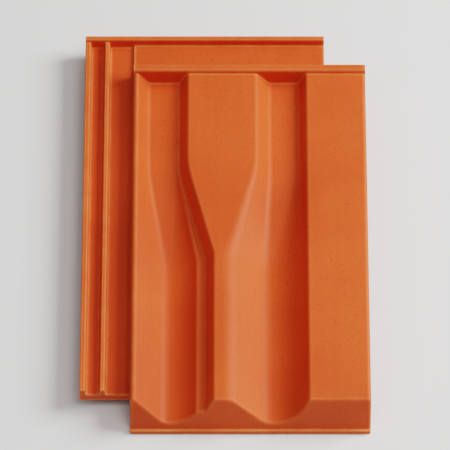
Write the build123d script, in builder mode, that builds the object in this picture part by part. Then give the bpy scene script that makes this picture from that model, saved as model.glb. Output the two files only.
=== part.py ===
"""A pressed clay roof tile with two pans, a tapering crown between them and locks on its edges.

The tile lies on its own underside. X runs across the slope, Y runs up the slope from the nose
to the head, and Z is up. The origin is the centre of the tile's footprint, at its lowest level.
Sections are drawn on planes whose own origin is the side joint line, at the lowest level, so a
section's first number is a distance from that line and its second is a height.
"""
from build123d import *
from dataclasses import dataclass, fields
from math import radians, tan
import os

# What one laid tile covers, and how far it laps
cover_width = 232.0
cover_length = 372.0
head_lap = 70.0
joint_gap = 10.0

# Heights and walls
crown_height = 38.0
wall = 11.0
seat_height = 12.0
band_skin = 9.0
edge_round = 3.2
ledge_round = 2.8
straight_share = 0.97

# Side lock, left of the joint line
lock_reach = 42.0
lock_plate = 8.0
lock_rib = 6.0
lock_channel = 12.0
lock_start = 30.0
lock_clearance = 1.0
draft = 0.8
lock_round = 1.2

# Cover band, which laps over the next tile's lock
band_width = 57.0
band_lip = 7.0
lip_depth = 7.5
band_hollow_foot = 4.0
band_hollow_head = 10.0

# Rim, crown and pans
rim_width = 4.2
crown_x = 91.0
ledge_rise = 1.0
taper_start = 178.0
taper_length = 100.0
start_bend = 8.0
end_bend = 28.0

# Nose
nose_run = 13.0
lip_height = 5.0
lip_ledge = 2.5
nose_round = 2.5
lip_corner = 1.5

# Head lock
landing = 14.0
bar_width = 10.0
bar_rise = 4.0
bar_round_share = 0.25
bar_clearance = 2.5
head_bar_width = 7.0
head_bar_rise = 8.0
head_margin = 4.0
head_corner = 6.0

# Nibs and nail holes
nib_length = 16.0
nib_width = 32.0
nib_slant = 5.0
nib_inset = 14.0
nib_spacing = 100.0
nail_hole = 6.0
nail_to_nib = 9.0
nail_spacing = 44.0

# Worked out from the sizes above
overall_length = cover_length + head_lap
rim_x = joint_gap / 2
edge_x = cover_width - joint_gap / 2
joint_x = (lock_reach - edge_x) / 2
foot_y = -overall_length / 2
band_x = edge_x - band_width
band_under = crown_height - band_skin
lock_top = band_under - lock_clearance
next_lock_x = cover_width - lock_reach
body_x = next_lock_x - 2 * lock_clearance
middle_x = (rim_x + body_x) / 2
pan_floor = seat_height + wall
ledge_height = pan_floor + ledge_rise
hollow_top = crown_height - wall
taper_end = taper_start + taper_length
bar_y = cover_length + landing
bar_top = crown_height + bar_rise
nib_y = overall_length - nib_inset - nib_length
skirt_depth = nose_run + wall
lock_floor = seat_height + lock_plate
inner_rib_x = lock_rib + lock_channel - lock_reach
rib_x = next_lock_x + lock_rib + lock_channel / 2
rim_hollow = 3 * wall


@dataclass
class Section:
    """Corners of one cross-section, left to right, and the radii that round the hollow ones."""

    floor: float
    rim_foot: float
    rim_root: float
    flank_foot: float
    flank_root: float
    ledge_start: float
    ledge_end: float
    crown_left: float
    crown_right: float
    crown_round: float
    fall_foot: float
    fall_root: float
    band_foot: float
    band_root: float
    hollow_left: float
    roof_left: float
    roof_right: float
    hollow_right: float


deep = Section(
    floor=wall,
    rim_foot=rim_x + 31,
    rim_root=12,
    flank_foot=crown_x - 34.5,
    flank_root=28,
    ledge_start=crown_x - 25,
    ledge_end=crown_x - 16.5,
    crown_left=crown_x - 9,
    crown_right=crown_x + 7,
    crown_round=20,
    fall_foot=crown_x + 39.5,
    fall_root=15,
    band_foot=band_x - 11.5,
    band_root=35,
    hollow_left=crown_x - 17,
    roof_left=crown_x - 2,
    roof_right=crown_x + 5,
    hollow_right=crown_x + 38,
)

shallow = Section(
    floor=pan_floor,
    rim_foot=rim_x + 14.5,
    rim_root=5,
    flank_foot=crown_x - 44.5,
    flank_root=1,
    ledge_start=crown_x - 43.2,
    ledge_end=crown_x - 41.8,
    crown_left=crown_x - 34,
    crown_right=crown_x + 32,
    crown_round=6,
    fall_foot=crown_x + 44,
    fall_root=6,
    band_foot=band_x - 6,
    band_root=5,
    hollow_left=crown_x - 39,
    roof_left=crown_x - 26,
    roof_right=crown_x + 25,
    hollow_right=crown_x + 43,
)


def across(distance):
    """The plane across the slope at a distance from the nose, facing down the slope."""
    return Plane(origin=(joint_x, foot_y + distance, 0), x_dir=(1, 0, 0), z_dir=(0, -1, 0))


def level(height):
    """The level plane at a height, measured from the joint line and the nose."""
    return Plane(origin=(joint_x, foot_y, height))


def upright(distance):
    """The upright plane along the slope, at a distance from the joint line, facing right."""
    return Plane(origin=(joint_x + distance, foot_y, 0), x_dir=(0, 1, 0), z_dir=(1, 0, 0))


def section_at(distance):
    """The section at a distance from the nose. The taper is straight, with a bend at each end."""
    from_start = distance - (taper_start - start_bend / 2)
    to_end = taper_end + end_bend / 2 - distance
    if from_start <= 0:
        share = 0
    elif to_end <= 0:
        share = 1
    elif from_start < start_bend:
        share = from_start ** 2 / (2 * start_bend * taper_length)
    elif to_end < end_bend:
        share = 1 - to_end ** 2 / (2 * end_bend * taper_length)
    else:
        share = (distance - taper_start) / taper_length
    return Section(*(getattr(deep, field.name) * (1 - share) + getattr(shallow, field.name) * share
                     for field in fields(Section)))


def rounded_line(corners):
    """Draw a line through corners of (x, height, radius), each radius limited by its walls."""
    points = [Vector(x, height) for x, height, radius in corners]
    runs = [end - start for start, end in zip(points, points[1:])]
    turns = [tan(radians(a.get_angle(b)) / 2) for a, b in zip(runs, runs[1:])]
    wanted = [corner[2] * turn for corner, turn in zip(corners[1:-1], turns)]
    room = [run.length * straight_share / (before + after)
            for run, before, after in zip(runs, [0] + wanted, wanted + [0])]
    radii = [corner[2] * min(1, before, after)
             for corner, before, after in zip(corners[1:-1], room, room[1:])]
    FilletPolyline(*points, radius=radii)


def weathered_face(distance, right_edge):
    """The closed section under the face that sheds the rain, still solid below."""
    s = section_at(distance)
    top = crown_height
    with BuildSketch(across(distance)) as sketch:
        with BuildLine():
            rounded_line([
                (rim_x, 0, 0),
                (rim_x, top, edge_round),
                (rim_x + rim_width, top, edge_round),
                (s.rim_foot, s.floor, s.rim_root),
                (s.flank_foot, s.floor, s.flank_root),
                (s.ledge_start, ledge_height, ledge_round),
                (s.ledge_end, ledge_height, ledge_round),
                (s.crown_left, top, edge_round),
                (s.crown_right, top, s.crown_round),
                (s.fall_foot, s.floor, s.fall_root),
                (s.band_foot, s.floor, s.band_root),
                (band_x, top, edge_round),
                (right_edge, top, edge_round),
                (right_edge, 0, 0),
            ])
            Line((right_edge, 0), (rim_x, 0))
        make_face()
    return sketch.sketch


def pans(distance):
    """The body of the tile, up to where the cover band begins."""
    return weathered_face(distance, body_x)


def crown_hollow(distance):
    """The hollow under the crown, down to the lowest level."""
    s = section_at(distance)
    with BuildSketch(across(distance)) as sketch:
        with BuildLine():
            Polyline((s.hollow_right, 0), (s.hollow_left, 0), (s.roof_left, hollow_top),
                     (s.roof_right, hollow_top), (s.hollow_right, 0))
        make_face()
    return sketch.sketch


def bar_profile(start, width, low, high, x):
    """The section of a bar across the tile, with sloping sides and a rounded top."""
    with BuildSketch(upright(x)) as sketch:
        with BuildLine():
            FilletPolyline((start, low), (start + draft, high), (start + width - draft, high),
                           (start + width, low), radius=width * bar_round_share)
            Line((start + width, low), (start, low))
        make_face()
    return sketch.sketch


first_bend = taper_start - start_bend / 2
second_bend = taper_end - end_bend / 2
straight_start = first_bend + start_bend
straight_end = second_bend + end_bend
pan_end = bar_y + bar_width / 2

with BuildPart() as roof_tile:
    # The pans run straight from the nose, taper between two bends, and run straight to the head.
    # The hollow under the crown keeps beside them
    for profile, mode in ((pans, Mode.ADD), (crown_hollow, Mode.SUBTRACT)):
        end = pan_end if mode is Mode.ADD else bar_y
        extrude(profile(0), amount=-first_bend, mode=mode)
        loft([profile(y) for y in (first_bend, taper_start, straight_start)], mode=mode)
        loft([profile(y) for y in (straight_start, second_bend)], ruled=True, mode=mode)
        loft([profile(y) for y in (second_bend, taper_end, straight_end)], mode=mode)
        extrude(profile(straight_end), amount=straight_end - end, mode=mode)

    # The space under the cover band takes the next tile's side lock
    with BuildSketch(across(0)):
        with BuildLine():
            Polyline((band_x - band_hollow_foot, 0), (cover_width, 0), (cover_width, band_under),
                     (band_x + band_hollow_head, band_under), (band_x - band_hollow_foot, 0))
        make_face()
    extrude(amount=-bar_y, mode=Mode.SUBTRACT)

    # The underside rises past the taper, so that the head seats on the batten
    with BuildSketch(upright(0)):
        with BuildLine():
            Polyline((taper_start, 0), (taper_end, seat_height), (overall_length, seat_height),
                     (overall_length, 0), (taper_start, 0))
        make_face()
    extrude(amount=cover_width, mode=Mode.SUBTRACT)

    # The underside is lifted beside the rim, level with the side lock
    with BuildSketch(across(0)):
        with BuildLine():
            Polyline((rim_x, 0), (rim_x + rim_hollow, 0), (rim_x + rim_hollow / 2, seat_height),
                     (rim_x, seat_height), (rim_x, 0))
        make_face()
    extrude(amount=-bar_y, mode=Mode.SUBTRACT)

    # The skirt closes the hollows behind the nose
    extrude(weathered_face(0, edge_x), amount=-skirt_depth)

    # The cover band, with a lip and a rib that hang into the next tile's lock
    with BuildSketch(across(0)):
        with BuildLine():
            Line((body_x - edge_round, crown_height), (body_x - edge_round, band_under))
            FilletPolyline((body_x - edge_round, band_under),
                           (rib_x - lock_rib / 2, band_under),
                           (rib_x - lock_rib / 2 + draft, band_under - lip_depth),
                           (rib_x + lock_rib / 2 - draft, band_under - lip_depth),
                           (rib_x + lock_rib / 2, band_under),
                           (edge_x - band_lip, band_under),
                           (edge_x - band_lip + draft, band_under - lip_depth),
                           (edge_x, band_under - lip_depth),
                           (edge_x, crown_height),
                           (body_x - edge_round, crown_height),
                           radius=[lock_round] * 7 + [edge_round])
        make_face()
    extrude(amount=-pan_end)

    # The side lock: a plate with two ribs, and a water channel beside the rim
    with BuildSketch(across(lock_start)):
        with BuildLine():
            FilletPolyline((rim_x + rim_width, seat_height),
                           (-lock_reach, seat_height),
                           (-lock_reach, lock_top),
                           (-lock_reach + lock_rib - draft, lock_top),
                           (-lock_reach + lock_rib, lock_floor),
                           (inner_rib_x, lock_floor),
                           (inner_rib_x + draft, lock_top),
                           (inner_rib_x + lock_rib - draft, lock_top),
                           (inner_rib_x + lock_rib, lock_floor),
                           (rim_x + rim_width, lock_floor),
                           radius=lock_round)
            Line((rim_x + rim_width, lock_floor), (rim_x + rim_width, seat_height))
        make_face()
    extrude(amount=lock_start - (overall_length - head_margin))

    # The head plate, with a tall bar for the next nose and a low bar along the head
    with BuildSketch(level(seat_height)):
        with Locations(((rim_x + body_x) / 2, (bar_y + overall_length) / 2)):
            Rectangle(body_x - rim_x, overall_length - bar_y)
    extrude(amount=wall)
    extrude(bar_profile(bar_y, bar_width, seat_height, bar_top, rim_x), amount=body_x - rim_x)
    extrude(bar_profile(bar_y, bar_width, band_under, bar_top, body_x), amount=edge_x - body_x)
    extrude(bar_profile(overall_length - head_margin - head_bar_width, head_bar_width,
                        seat_height, pan_floor + head_bar_rise, -lock_reach),
            amount=body_x + lock_reach)

    # The groove under the nose takes the tall bar of the tile below
    with BuildSketch(level(0)):
        with Locations((cover_width / 2, landing + bar_width / 2)):
            Rectangle(cover_width, bar_width + 2 * bar_clearance)
    extrude(amount=bar_rise + bar_clearance, mode=Mode.SUBTRACT)

    # The nose leans back above a small drip lip
    with BuildSketch(upright(0)):
        with BuildLine():
            Polyline((0, lip_height), (lip_ledge, lip_height), (nose_run, crown_height),
                     (nose_run, bar_top), (-nose_run, bar_top), (-nose_run, lip_height),
                     (0, lip_height))
        make_face()
    extrude(amount=cover_width, mode=Mode.SUBTRACT)
    nose = roof_tile.faces().sort_by_distance((joint_x + crown_x,
                                               foot_y + (lip_ledge + nose_run) / 2,
                                               (lip_height + crown_height) / 2))[0]
    side_edges = nose.edges().filter_by(Plane.YZ)
    fillet([edge for edge in nose.edges() if edge not in side_edges
            and edge.center().Z > lip_height + nose_round], nose_round)
    lip_edges = roof_tile.edges().filter_by(Axis.Z).group_by(Axis.Y)[0]
    fillet(lip_edges, lip_corner)

    head_edges = roof_tile.edges().filter_by(Axis.Z).group_by(Axis.Y)[-1]
    fillet(head_edges.sort_by(Axis.X)[-1], head_corner)

    # Two nibs hook over the batten
    for x in (middle_x - nib_spacing / 2, middle_x + nib_spacing / 2):
        with BuildSketch(upright(x - nib_width / 2)):
            with BuildLine():
                Polyline((nib_y, seat_height), (nib_y, 0), (nib_y + nib_length - nib_slant, 0),
                         (nib_y + nib_length, seat_height), (nib_y, seat_height))
            make_face()
        extrude(amount=nib_width)

    # Nail holes go through the head plate into the batten
    with BuildSketch(level(0)):
        with Locations((middle_x, nib_y - nail_to_nib)):
            with GridLocations(nail_spacing, 0, 2, 1):
                Circle(nail_hole / 2)
    extrude(amount=bar_top, mode=Mode.SUBTRACT)

roof_tile.part.label = "roof_tile"

os.makedirs("parts", exist_ok=True)
export_step(roof_tile.part, "parts/roof_tile.step")
print("size", roof_tile.part.bounding_box().size, "volume", roof_tile.part.volume)
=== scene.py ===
# %% [markdown]
# # A pressed clay roof tile
#
# The object is one field tile: two rain pans, a crown that swells towards the head, a flat cover
# band on the right and a lock on the left. Its solid already has the real shape, so nothing is
# remodelled here. What Blender adds is the fired surface: the thin coloured slip on the
# weathered face, the bare clay underneath, and the light that shows them.
#
# The frame is loaded first, because the camera, the floor and the lamps take their places from
# its box.

# %% Load the tile
import bpy
from math import atan, cos, radians, sin
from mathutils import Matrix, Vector


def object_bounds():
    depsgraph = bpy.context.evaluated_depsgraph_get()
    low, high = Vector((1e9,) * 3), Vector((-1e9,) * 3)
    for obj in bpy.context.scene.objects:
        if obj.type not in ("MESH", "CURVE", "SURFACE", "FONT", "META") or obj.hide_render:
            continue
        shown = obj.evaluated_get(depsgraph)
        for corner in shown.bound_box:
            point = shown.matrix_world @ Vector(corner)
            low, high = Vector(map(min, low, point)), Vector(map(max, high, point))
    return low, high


MM = 0.001

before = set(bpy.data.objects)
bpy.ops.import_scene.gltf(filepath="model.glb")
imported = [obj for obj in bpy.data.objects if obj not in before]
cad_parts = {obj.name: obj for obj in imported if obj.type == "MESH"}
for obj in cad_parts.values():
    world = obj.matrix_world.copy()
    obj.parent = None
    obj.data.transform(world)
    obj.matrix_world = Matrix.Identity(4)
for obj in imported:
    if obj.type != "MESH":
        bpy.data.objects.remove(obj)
lowest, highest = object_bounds()
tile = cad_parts["roof_tile"]
centre = (lowest + highest) / 2
size = highest - lowest
print("tile", [round(side / MM) for side in size], "mm")

# %% [markdown]
# ## Camera
#
# The tile is seen from its nose end, from about five metres away, so it is drawn with almost no
# perspective. A long lens far away gives that, where a short lens close by would make the nose
# look bigger than the head. The lens is worked out from how much has to fit.
#
# The view transform belongs to the camera too. Filmic keeps the bright slopes from burning out,
# and its high contrast look gives the deep shade under each wall, which Filmic alone would leave
# pale.

# %% Place the camera
ELEVATION = radians(55)
DISTANCE = 5.0
MARGIN = 1.1
FAR_CLIP = 100.0
EXPOSURE = 0.2

drawn_height = size.y * sin(ELEVATION) + size.z * cos(ELEVATION)
camera_data = bpy.data.cameras.new("camera")
camera_data.angle = 2 * atan(drawn_height * MARGIN / 2 / DISTANCE)
camera_data.clip_end = FAR_CLIP
camera = bpy.data.objects.new("camera", camera_data)
towards_camera = Vector((0, -cos(ELEVATION), sin(ELEVATION)))
camera.location = centre + DISTANCE * towards_camera
camera.rotation_euler = (-towards_camera).to_track_quat("-Z", "Y").to_euler()
bpy.context.scene.collection.objects.link(camera)
bpy.context.scene.camera = camera
view = bpy.context.scene.view_settings
view.view_transform = "Filmic"
view.look = "High Contrast"
view.exposure = EXPOSURE
print("lens", round(camera_data.lens), "mm")

# %% [markdown]
# ## Floor
#
# A tile that is stored or sold lies flat on its underside. A plain pale floor, far larger than
# the tile, gives it a soft shadow and nothing else to look at.

# %% Lay the floor
FLOOR_HALF = 15.0

floor_mesh = bpy.data.meshes.new("floor")
corners = [(x * FLOOR_HALF, y * FLOOR_HALF, lowest.z)
           for x, y in ((-1, -1), (1, -1), (1, 1), (-1, 1))]
floor_mesh.from_pydata(corners, [], [(0, 1, 2, 3)])
floor = bpy.data.objects.new("floor", floor_mesh)
bpy.context.scene.collection.objects.link(floor)
print("floor", 2 * FLOOR_HALF, "m wide")

# %% [markdown]
# ## Light
#
# A tile reads by its slopes. One strong soft lamp on the right, halfway up, makes the slopes that
# face it bright and leaves the walls that face away dark. A weaker one almost overhead lights the
# nose, a wide one on the left only keeps the shade open, and a pale sky fills the rest. The lamps
# are aimed at the tile and hidden from the camera, so that they show only as sheen.

# %% Hang the lamps
def hang(name, direction, distance, width, watts):
    """A square lamp in a direction from the tile, facing it."""
    lamp_data = bpy.data.lights.new(name, "AREA")
    lamp_data.size = width
    lamp_data.energy = watts
    lamp = bpy.data.objects.new(name, lamp_data)
    out = Vector(direction).normalized()
    lamp.location = centre + distance * out
    lamp.rotation_euler = (-out).to_track_quat("-Z", "Y").to_euler()
    lamp.visible_camera = False
    bpy.context.scene.collection.objects.link(lamp)


hang("key_lamp", (0.85, 0.2, 0.72), distance=2.2, width=1.2, watts=52)
hang("top_lamp", (0.2, -0.3, 0.95), distance=2.2, width=1.0, watts=9)
hang("fill_lamp", (-0.6, -0.4, 0.8), distance=2.6, width=1.8, watts=4)
print("lamps", [light.name for light in bpy.data.lights])

# %% Light the sky
SKY_COLOUR = (1.0, 1.0, 1.0, 1)
SKY_STRENGTH = 0.2

sky = bpy.data.worlds.new("sky")
sky.use_nodes = True
background = sky.node_tree.nodes["Background"]
background.inputs["Color"].default_value = SKY_COLOUR
background.inputs["Strength"].default_value = SKY_STRENGTH
bpy.context.scene.world = sky
print("sky at", SKY_STRENGTH)

# %% [markdown]
# ## Writing a finish
#
# A material is a graph of nodes. To keep it readable, a wire between two nodes is wrapped in a
# small class, so that sums on surface values are written as sums, and each one adds its Math
# node. Every other node comes from one method, which takes the node's type, its settings and
# what goes into its sockets.

# %% Wrap a wire
class Wire:
    """A node's output. Plain arithmetic on it adds Math nodes."""

    def __init__(self, finish, socket):
        self.finish, self.socket = finish, socket

    def maths(self, operation, first, second):
        return self.finish.add("ShaderNodeMath", {"operation": operation},
                               {"Value": first, "Value_001": second})

    def __add__(self, other):
        return self.maths("ADD", self, other)

    def __sub__(self, other):
        return self.maths("SUBTRACT", self, other)

    def __rsub__(self, other):
        return self.maths("SUBTRACT", other, self)

    def __mul__(self, other):
        return self.maths("MULTIPLY", self, other)

    __radd__ = __add__
    __rmul__ = __mul__

    def step(self, low, high):
        """0 below low, 1 above high, and a smooth rise between them."""
        return self.finish.add("ShaderNodeMapRange", {"interpolation_type": "SMOOTHSTEP"},
                               {"Value": self, "From Min": low, "From Max": high})


print("wires ready")


# %% Wrap a node tree
class Finish:
    """A material, built one node at a time."""

    def __init__(self, name):
        self.material = bpy.data.materials.new(name)
        self.material.use_nodes = True
        self.tree = self.material.node_tree
        self.tree.nodes.clear()

    def add(self, kind, settings, sockets, output=None):
        """A node, and the wire of its named output, or else of its first one."""
        node = self.tree.nodes.new(kind)
        for setting, value in settings.items():
            setattr(node, setting, value)
        for key, value in sockets.items():
            socket = next(s for s in node.inputs if key in (s.identifier, s.name))
            if isinstance(value, Wire):
                self.tree.links.new(value.socket, socket)
            else:
                socket.default_value = value
        found = [s for s in node.outputs if output in (None, s.identifier, s.name)]
        return Wire(self, found[0]) if found else None

    def mix(self, share, first, second):
        """From the first colour to the second by a share."""
        return self.add("ShaderNodeMix", {"data_type": "RGBA"},
                        {"Factor_Float": share, "A_Color": first, "B_Color": second},
                        "Result_Color")

    def noise(self, place, width, detail=2.0, roughness=0.5):
        """Soft random patches about one width across, from 0 to 1."""
        return self.add("ShaderNodeTexNoise", {},
                        {"Vector": place, "Scale": 1 / width, "Detail": detail,
                         "Roughness": roughness})


print("finishes ready")

# %% [markdown]
# ## Floor paint
#
# The floor is matt and pale, with a trace of unevenness so that it does not look like paper.

# %% Paint the floor
FLOOR_GREY = (0.80, 0.79, 0.78, 1)
FLOOR_WHITE = (0.84, 0.83, 0.82, 1)
FLOOR_CLOUD = 900 * MM
FLOOR_ROUGHNESS = 0.7

paint = Finish("pale_floor")
floor_place = paint.add("ShaderNodeTexCoord", {}, {}, "Object")
pale = paint.mix(paint.noise(floor_place, FLOOR_CLOUD), FLOOR_GREY, FLOOR_WHITE)
matt = paint.add("ShaderNodeBsdfPrincipled", {},
                 {"Base Color": pale, "Roughness": FLOOR_ROUGHNESS})
paint.add("ShaderNodeOutputMaterial", {}, {"Surface": matt})
floor_mesh.materials.append(paint.material)
print("floor painted")

# %% [markdown]
# ## Where the slip went
#
# The tile is pressed from red clay, sprayed from above with a thin coloured slip and fired. The
# slip covers what faces up or sideways and stops at the underside, where the bare clay shows.
# So the way that a point faces decides its finish, with a ragged edge where the spray ends.

# %% Find the slip and the bare clay
RAGGED_WIDTH = 9 * MM
BARE_BELOW = -0.55
SLIP_ABOVE = -0.2

clay = Finish("slipped_clay")
place = clay.add("ShaderNodeTexCoord", {}, {}, "Object")
facing = clay.add("ShaderNodeTexCoord", {}, {}, "Normal")
upward = clay.add("ShaderNodeSeparateXYZ", {}, {"Vector": facing}, "Z")
ragged = clay.noise(place, RAGGED_WIDTH, detail=4)
slip = (upward + (ragged - 0.5) * 0.5).step(BARE_BELOW, SLIP_ABOVE)
print("slip mask ready")

# %% [markdown]
# ## Colour of the slip
#
# The kiln never heats a tile evenly, so its red drifts in broad clouds. The press leaves faint
# streaks that run along the slope, and the grog in the clay shows as fine grain and specks. Each
# of them is weak: the tile still reads as one colour from a few metres away.

# %% Colour the slip
SLIP_DEEP = (0.52, 0.064, 0.012, 1)
SLIP_MID = (0.70, 0.105, 0.022, 1)
CLOUD_WIDTH = 110 * MM
STREAK_WIDTH = 5 * MM
STREAK_STRETCH = 25
GRAIN_WIDTH = 0.9 * MM
SPECK_WIDTH = 2.2 * MM

cloud = clay.noise(place, CLOUD_WIDTH, detail=3)
along = clay.add("ShaderNodeMapping", {},
                 {"Vector": place, "Scale": (1, 1 / STREAK_STRETCH, 1)})
streak = clay.noise(along, STREAK_WIDTH, detail=3)
grain = clay.noise(place, GRAIN_WIDTH, detail=2, roughness=0.7)
speck = clay.noise(place, SPECK_WIDTH, detail=0).step(0.66, 0.74)
tone = cloud.step(0.3, 0.7) * 0.5 + streak * 0.25 + grain * 0.3
slip_colour = clay.mix(tone, SLIP_DEEP, SLIP_MID)
slip_colour = clay.mix(speck * 0.6, slip_colour, SLIP_DEEP)
print("slip colour ready")

# %% [markdown]
# ## Worn edges and painted highlights
#
# Slip is thinnest on an edge, and edges are what tiles knock against each other in a stack, so
# every rim and nose is a little paler and rougher. The pale edge colour is also a painted
# highlight: it is made wide and strong so that each rounded edge and nose looks lit. A Bevel node
# finds the edges: it bends the normal near them, and the bend is the mask. Noise breaks the wear
# and the painted highlight up.

# %% Find the edges
PALE_SLIP_AND_HIGHLIGHT = (0.76, 0.22, 0.075, 1)
EDGE_REACH = 4.5 * MM
KNOCK_WIDTH = 14 * MM

bevelled = clay.add("ShaderNodeBevel", {"samples": 6}, {"Radius": EDGE_REACH})
plain = clay.add("ShaderNodeNewGeometry", {}, {}, "Normal")
likeness = clay.add("ShaderNodeVectorMath", {"operation": "DOT_PRODUCT"},
                    {"Vector": bevelled, "Vector_001": plain}, "Value")
edge = (1 - likeness).step(0.003, 0.07)
knocks = clay.noise(place, KNOCK_WIDTH, detail=4).step(0.35, 0.65)
wear_and_highlight = edge * (0.6 + knocks * 0.35)
# Pale slip at the edges: partly wear, partly a painted highlight on every rounded edge and nose.
slip_colour = clay.mix(wear_and_highlight, slip_colour, PALE_SLIP_AND_HIGHLIGHT)
print("edge wear ready")

# %% [markdown]
# ## Bare clay
#
# Under the tile the clay is bare: less red, chalky and patchy, because nothing covers what the
# kiln did to it. Its edges are rubbed paler too.

# %% Colour the bare clay
CLAY_DEEP = (0.42, 0.13, 0.055, 1)
CLAY_PALE = (0.60, 0.24, 0.12, 1)
PATCH_WIDTH = 45 * MM

patches = clay.noise(place, PATCH_WIDTH, detail=4)
bare_colour = clay.mix(patches * 0.7 + grain * 0.3, CLAY_DEEP, CLAY_PALE)
bare_colour = clay.mix(edge * 0.4, bare_colour, CLAY_PALE)
colour = clay.mix(slip, bare_colour, slip_colour)
print("bare clay ready")

# %% [markdown]
# ## Sheen
#
# Fired slip is satin: smooth enough for a soft highlight along each rounded edge, and never
# glassy. It is a little duller where it is worn, and the clouds and streaks of its colour show
# in its sheen too. The bare clay is dull all over.

# %% Set the sheen
SLIP_ROUGHNESS = 0.58
BARE_ROUGHNESS = 0.85

satin = SLIP_ROUGHNESS + (cloud - 0.5) * 0.10 + (streak - 0.5) * 0.08 + wear_and_highlight * 0.14
roughness = slip * satin + (1 - slip) * BARE_ROUGHNESS
print("slip roughness about", SLIP_ROUGHNESS)

# %% [markdown]
# ## Relief
#
# The surface waves a little from the press and carries a fine grain, and the bare clay is
# coarser. All of that is only fractions of a millimetre high, so it is bump, not mesh.

# %% Add the relief and put the finish on
WAVE_WIDTH = 30 * MM
COARSE_WIDTH = 2.5 * MM
RELIEF_HEIGHT = 0.5 * MM
CLAY_IOR = 1.42

wave = clay.noise(place, WAVE_WIDTH, detail=2)
coarse = clay.noise(place, COARSE_WIDTH, detail=4, roughness=0.7)
relief = wave * 0.5 + streak * 0.14 + grain * 0.14 + (1 - slip) * coarse * 0.5
bump = clay.add("ShaderNodeBump", {},
                {"Height": relief, "Distance": RELIEF_HEIGHT, "Strength": 1.0})
surface = clay.add("ShaderNodeBsdfPrincipled", {},
                   {"Base Color": colour, "Roughness": roughness, "Normal": bump,
                    "IOR": CLAY_IOR})
clay.add("ShaderNodeOutputMaterial", {}, {"Surface": surface})
for slot in tile.material_slots:
    slot.material = clay.material
print("finished", tile.name, "with", clay.material.name)
